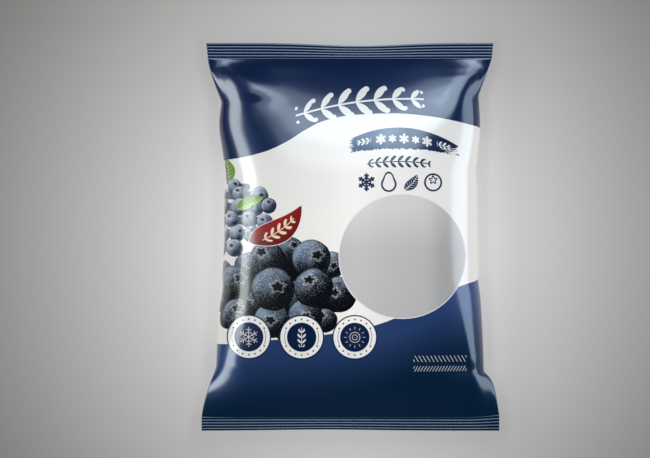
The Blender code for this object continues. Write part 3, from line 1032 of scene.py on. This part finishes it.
def add_badges(tree, flat, colour, groups):
    """Three round badges: a white ring with dots, and a navy disc with a line drawing."""
    u, v = tree.split(flat)
    x, index = tree.cells(u, BADGE_FIRST, BADGE_PITCH)
    y = tree.minus(v, BADGE_Y)
    local = tree.combine(x, y)
    there = tree.near(index, 1.0, 1.4)
    away = tree.length(local)
    outline, ring, disc = (tree.times(tree.inside(tree.minus(away, size)), there) for size in BADGE_RADII)
    colour = tree.mix(outline, colour, NAVY)
    colour = tree.mix(ring, colour, INK_WHITE)

    turn = tree.math("ARCTAN2", x, y)
    far, radius, count = BADGE_DOTS
    spot = tree.times(tree.size(tree.wave(turn, math.pi / count)), far)
    dot = tree.length(tree.combine(spot, tree.minus(away, far)))
    upright = tree.math("GREATER_THAN", tree.size(y), BADGE_DOTS_FROM)
    dots = tree.times(tree.inside(tree.minus(dot, radius)), upright)
    arc = tree.inside(tree.past(tree.minus(away, BADGE_ARC), BADGE_HALF_LINE))
    arc = tree.times(arc, tree.minus(1.0, upright))
    colour = tree.mix(tree.times(tree.most(dots, arc), there), colour, NAVY)
    colour = tree.mix(disc, colour, NAVY)

    crystal = tree.place(groups["crystal"], Place=local, **BADGE_CRYSTAL)["Mask"]
    twig = put_twig(tree, groups, tree.turned(local, math.pi / 2), *BADGE_TWIG)
    pitch, reach = BADGE_RINGS
    rings = tree.inside(tree.past(tree.wave(away, pitch), BADGE_HALF_LINE))
    rings = tree.times(rings, tree.inside(tree.minus(away, reach)))
    middle, half, count = BADGE_RAYS
    ray = tree.times(tree.size(tree.wave(turn, math.pi / count)), away)
    ray = tree.inside(tree.minus(ray, BADGE_HALF_LINE))
    span = tree.inside(tree.past(tree.minus(away, middle), half))
    sun = tree.most(rings, tree.times(ray, span))
    drawing = tree.numbered(index, (crystal, twig, sun))
    return tree.mix(tree.times(drawing, BADGE_INK), colour, INK_WHITE)


def add_banner(tree, flat, colour, groups):
    """A brushed navy banner with a row of crystals between two twigs."""
    u, v = tree.split(flat)
    streak = tree.noise(tree.vector("MULTIPLY", flat, (60.0, 900.0, 0.0)), 1.0, 3.0)
    streak = tree.minus(streak, 0.5)
    from_middle = tree.minus(u, BANNER_MIDDLE)
    part = tree.over(from_middle, BANNER_HALF)
    square = tree.square(part)
    top, bottom, arch = (
        tree.scaled(square, fall, tree.scaled(part, slope, height))
        for fall, slope, height in (BANNER_TOP, BANNER_BOTTOM, BANNER_ROW)
    )
    ragged = tree.noise(tree.vector("MULTIPLY", flat, (420.0, 300.0, 0.0)), 1.0, 2.0)
    ragged = tree.times(tree.minus(ragged, 0.5), 0.0035)
    over = tree.minus(v, top)
    under = tree.minus(tree.plus(bottom, ragged), v)
    ends = tree.times(tree.scaled(streak, 0.30, tree.past(part, 1.0)), BANNER_HALF)
    stroke = tree.inside(tree.any_of((over, under, ends)))
    dry = tree.times(tree.step(part, 0.55, 1.0), tree.step(v, 0.083, 0.071))
    bare = tree.math("GREATER_THAN", tree.scaled(dry, 0.42, streak), 0.30)
    stroke = tree.times(stroke, tree.minus(1.0, bare))
    colour = tree.mix(stroke, colour, tree.mix(tree.step(part, -1.0, 1.0), *BANNER_NAVY))

    y = tree.minus(v, arch)
    x, index = tree.cells(u, BANNER_MIDDLE, BANNER_PITCH)
    index = tree.size(index)
    even = tree.near(tree.math("MODULO", index, 2.0), 0.0, 0.1)
    size = tree.scaled(even, 0.0012, 0.0034)
    crystal = tree.place(groups["crystal"], Place=tree.combine(x, y), Radius=size, Line=BANNER_LINE)["Mask"]
    crystal = tree.times(crystal, tree.below(index, 2.5))
    twig = put_twig(tree, groups, tree.combine(tree.past(from_middle, BANNER_TWIG_AT), y), *BANNER_TWIG)
    return tree.mix(tree.most(crystal, twig), colour, INK_WHITE)


def add_icons(tree, flat, colour, groups):
    """Four navy line drawings in a row, and a twig over them."""
    u, v = tree.split(flat)
    x, index = tree.cells(u, ICON_FIRST, ICON_PITCH)
    y = tree.minus(v, ICON_Y)
    local = tree.combine(x, y)
    leaf = put_leaf(tree, groups, local, *ICON_LEAF)
    leaf_mask = tree.times(leaf["Cover"], tree.minus(1.0, leaf["Vein"]))
    crystal, drop, fruit = (
        tree.place(groups[name], Place=local, Radius=radius, Line=ICON_LINE)["Mask"]
        for name, radius in (("crystal", ICON_CRYSTAL), ("drop", ICON_DROP), ("fruit", ICON_FRUIT))
    )
    drawing = tree.numbered(index, (crystal, drop, leaf_mask, fruit))
    drawing = tree.times(drawing, tree.below(tree.size(y), ICON_BAND))
    twig = put_twig(tree, groups, moved(tree, flat, ICON_TWIG_AT), *ICON_TWIG)
    return tree.mix(tree.most(drawing, twig), colour, ICON_NAVY)


def add_flourish(tree, flat, colour, groups):
    """A large white twig that climbs across the navy field."""
    twig = put_twig(tree, groups, moved(tree, flat, FLOURISH_AT, FLOURISH_TURN), *FLOURISH)
    return tree.mix(twig, colour, INK_WHITE)


def add_small_marks(tree, flat, colour, groups):
    """Two rows of short slanted pale strokes low on the right."""
    u, v = tree.split(flat)
    right = tree.minus(u, MARKS_MIDDLE)
    rows = []
    for y, slant, half_pitch, half_height in MARK_ROWS:
        lift = tree.minus(v, y)
        stroke = tree.past(tree.wave(tree.scaled(lift, slant, right), half_pitch), MARKS_HALF_LINE)
        rows.append(tree.inside(tree.most(stroke, tree.past(lift, half_height))))
    there = tree.inside(tree.past(right, MARKS_HALF))
    return tree.mix(tree.times(tree.times(tree.any_of(rows), there), MARKS_INK), colour, INK_WHITE)


def add_back_panels(tree, flat, colour, groups):
    """A pale rounded panel with ruled lines on each half of the back."""
    u, v = tree.split(flat)
    half_width, half_height = BACK_PANEL_HALF
    x = tree.past(u, BACK_PANEL_AT)
    over = tree.combine(tree.most(tree.past(x, half_width), 0.0), tree.most(tree.past(v, half_height), 0.0))
    corner = tree.minus(tree.length(over), BACK_PANEL_CORNER)
    colour = tree.mix(tree.inside(corner), colour, NAVY)
    colour = tree.mix(tree.inside(tree.plus(corner, BACK_PANEL_RIM)), colour, INK_WHITE)
    line = tree.past(tree.wave(v, BACK_LINE_PITCH / 2), BACK_LINE_HALF)
    number = tree.math("ROUND", tree.over(v, BACK_LINE_PITCH))
    short = tree.times(tree.math("SINE", tree.times(number, 2.4)), BACK_LINE_INSET)
    end = tree.minus(tree.plus(x, short), half_width - BACK_LINE_INSET)
    side = tree.most(end, tree.minus(-half_width, x))
    lines = tree.inside(tree.any_of((line, side, tree.past(v, half_height))))
    return tree.mix(tree.times(lines, BACK_INK), colour, NAVY)


def printed_film():
    material = bpy.data.materials.new("printed film")
    material.use_nodes = True
    tree = Tree(material.node_tree)
    surface = material.node_tree.nodes["Principled BSDF"]
    flat = tree.node("ShaderNodeUVMap", uv_map="print").outputs[0]
    u, v = tree.split(flat)
    groups = {"berry": berry_place(), "skin": berry_skin(), "leaf": leaf_shape(), "crystal": snow_crystal()}
    groups.update({"sprig": sprig(), "fruit": fruit_mark(), "drop": drop_mark()})

    top_gap = tree.minus(v, wave_height(tree, u, TOP_WAVE))
    bottom_gap = tree.minus(wave_height(tree, u, BOTTOM_WAVE), v)
    colour = add_berries(tree, flat, WHITE, groups)
    # painted shade: the lower navy field darkens the farther it is below its edge
    low_ink_and_shade = tree.mix(tree.step(bottom_gap, *LOW_FIELD_SHADE), LIT_LOW_NAVY, SHADED_LOW_NAVY)
    for gap, ink in ((bottom_gap, low_ink_and_shade), (top_gap, NAVY)):
        colour = tree.mix(tree.inside(tree.times(gap, -1.0)), colour, ink)

    from_middle = tree.vector("MULTIPLY", moved(tree, flat, WINDOW_AT), (1.0, WINDOW_SQUASH, 0.0))
    off = tree.minus(tree.length(from_middle), WINDOW_RADIUS)
    colour = tree.mix(tree.inside(off), colour, WINDOW_RIM)
    # the window's grey, with a painted highlight that makes it lighter towards its top
    window = tree.mix(tree.step(v, *WINDOW_HIGHLIGHT_RUN), WINDOW, WINDOW_PAINTED_HIGHLIGHT)
    # painted shade: a dimmer band down the window's right side
    painted_shade = tree.times(tree.step(u, *WINDOW_SHADE_FROM), tree.step(u, *WINDOW_SHADE_TO))
    window = tree.mix(tree.times(painted_shade, WINDOW_PAINTED_SHADE), window, BLACK)
    colour = tree.mix(tree.inside(tree.plus(off, WINDOW_RIM_WIDTH)), colour, window)

    parts = (add_red_leaf, add_badges, add_banner, add_icons, add_flourish, add_small_marks, add_back_panels)
    for add_part in parts:
        colour = add_part(tree, flat, colour, groups)
    tree.join(colour, surface.inputs["Base Color"])

    ink = tree.node("ShaderNodeSeparateColor")
    tree.join(colour, ink.inputs[0])
    sheen = tree.times(tree.step(ink.outputs[0], *SHEEN_REDS), INK_SHEEN)
    tree.join(sheen, surface.inputs["Metallic"])
    for name, value in FINISH.items():
        surface.inputs[name].default_value = value
    return material


# ---------------------------------------------------------------- floor, lights and camera

VIEW_WIDTH = 0.5667
CAMERA_AT = (-0.0222, 0.0068)
LENS = 200.0
SENSOR = 36.0

FLOOR_HALF = 3.0
FLOOR_ROUGHNESS = 0.9
# the floor's own tone and the soft pool of light that it gives off round the bag: its middle, how far it
# reaches, how it falls away and how bright it is
FLOOR_TONE = (0.218, 0.200, 0.188, 1.0)
GLOW_AT = (-0.0082, -0.0074, 0.0)
GLOW_REACH = (0.05, 0.428)
GLOW_FALL = 1.5
FLOOR_GLOW = 0.687
# half the size of the dimmer patch of it under the bag, a painted shadow where the glow fades, and the width
# of the patch's soft edge
SHADOW_UNDER_BAG = (0.084, 0.136)
SHADOW_UNDER_BAG_EDGE = 0.026


def add_floor():
    mesh = bpy.data.meshes.new("floor")
    corners = [(x * FLOOR_HALF, y * FLOOR_HALF, 0.0) for x, y in ((-1, -1), (1, -1), (1, 1), (-1, 1))]
    mesh.from_pydata(corners, [], [(0, 1, 2, 3)])
    material = bpy.data.materials.new("pale backdrop")
    material.use_nodes = True
    surface = material.node_tree.nodes["Principled BSDF"]
    tree = Tree(material.node_tree)
    place = tree.node("ShaderNodeTexCoord").outputs["Object"]
    away = tree.vector("DISTANCE", place, GLOW_AT)
    glow = tree.math("POWER", tree.step(away, *GLOW_REACH, 1.0, 0.0, smooth=False), GLOW_FALL)
    past = tree.vector("SUBTRACT", tree.vector("ABSOLUTE", place), (*SHADOW_UNDER_BAG, 0.0))
    past = tree.length(tree.vector("MAXIMUM", past, (0.0, 0.0, 0.0)))
    # painted shadow: the glow fades in a patch under the bag
    glow = tree.times(glow, tree.step(past, 0.0, SHADOW_UNDER_BAG_EDGE))
    tree.join(tree.mix(glow, BLACK, FULL_WHITE), surface.inputs["Emission Color"])
    surface.inputs["Emission Strength"].default_value = FLOOR_GLOW
    surface.inputs["Base Color"].default_value = FLOOR_TONE
    surface.inputs["Roughness"].default_value = FLOOR_ROUGHNESS
    mesh.materials.append(material)
    add_object("floor", mesh)


def direction(tilt, turn):
    """A unit vector tilted from +Z towards a turn in the XY plane, both in degrees."""
    tilt, turn = math.radians(tilt), math.radians(turn)
    return Vector((math.sin(tilt) * math.cos(turn), math.sin(tilt) * math.sin(turn), math.cos(tilt)))


def add_light(name, place, size, brightness, colour):
    """A soft rectangular light that faces down, of an even brightness."""
    light = bpy.data.lights.new(name, "AREA")
    light.shape = "RECTANGLE"
    light.size, light.size_y = size
    light.energy = brightness * math.pi * size[0] * size[1]
    light.color = colour
    panel = add_object(name, light)
    panel.location = place
    panel.visible_camera = False
    return panel


def add_panel(name, tilt, turn, size, brightness, colour):
    """A light that faces the middle of the bag, its long side level."""
    aim = direction(tilt, turn)
    panel = add_light(name, aim * PANEL_DISTANCE, size, brightness, colour)
    panel.rotation_euler = aim.to_track_quat("Z", "Y").to_euler()
    return panel


SKY_BLUE = (0.80, 0.97, 1.10)
SOFT_WHITE = (0.94, 1.03, 1.02)
DAYLIGHT = (1.0, 0.965, 0.93)

# ceiling panels: name, middle, length and width, brightness
CEILING_PANELS = (
    ("wide ceiling", (0.025, 1.500, 1.75), (1.750, 1.600), 1.00),
    ("ceiling core", (-0.072, 1.430, 1.68), (1.110, 0.650), 1.50),
)
# panels that face the bag: name, tilt and turn in degrees, length and width, brightness
PANEL_DISTANCE = 2.0
PANELS = (
    ("upper right", 47.4, 62.5, (0.62, 1.20), 1.75, SKY_BLUE),
    ("left", 56.3, 176.0, (2.37, 0.55), 3.5, SOFT_WHITE),
    ("right", 69.3, 5.0, (2.06, 0.98), 1.65, SKY_BLUE),
)
# lamps for even light, which leave no reflection: one over the bag, others low beside it
OVER_LAMP = ("over lamp", (0.008, 0.0, 0.26), (0.06, 0.42), 5.0)
SIDE_LAMPS = (
    ("left lamp", 80.0, 176.0, (2.10, 0.93), 3.0),
    ("right lamp", 80.0, 5.0, (2.10, 0.93), 4.2),
    ("foot lamp", 74.0, 270.0, (1.80, 0.80), 3.2),
)
FILL = 0.01


def add_lights():
    for panel in CEILING_PANELS:
        add_light(*panel, SKY_BLUE)
    for panel in PANELS:
        add_panel(*panel)
    lamps = [add_panel(*lamp, DAYLIGHT) for lamp in SIDE_LAMPS]
    lamps.append(add_light(*OVER_LAMP, DAYLIGHT))
    for lamp in lamps:
        lamp.visible_glossy = False
    world = bpy.data.worlds.new("soft fill")
    bpy.context.scene.world = world
    world.use_nodes = True
    background = world.node_tree.nodes["Background"].inputs
    background["Color"].default_value = FULL_WHITE
    background["Strength"].default_value = FILL


def add_camera():
    camera = bpy.data.cameras.new("camera")
    camera.lens = LENS
    camera.sensor_width = SENSOR
    holder = add_object("camera", camera)
    holder.location = (*CAMERA_AT, SEAL_LEVEL + VIEW_WIDTH * LENS / SENSOR)
    bpy.context.scene.camera = holder
    bpy.context.scene.view_settings.view_transform = "Standard"


# ---------------------------------------------------------------- the bag


def add_film():
    film = add_object("film", film_mesh())
    pressed(film, printed_film())
    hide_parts("bag")
    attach(film, "root")


add_film()
add_floor()
add_lights()
add_camera()
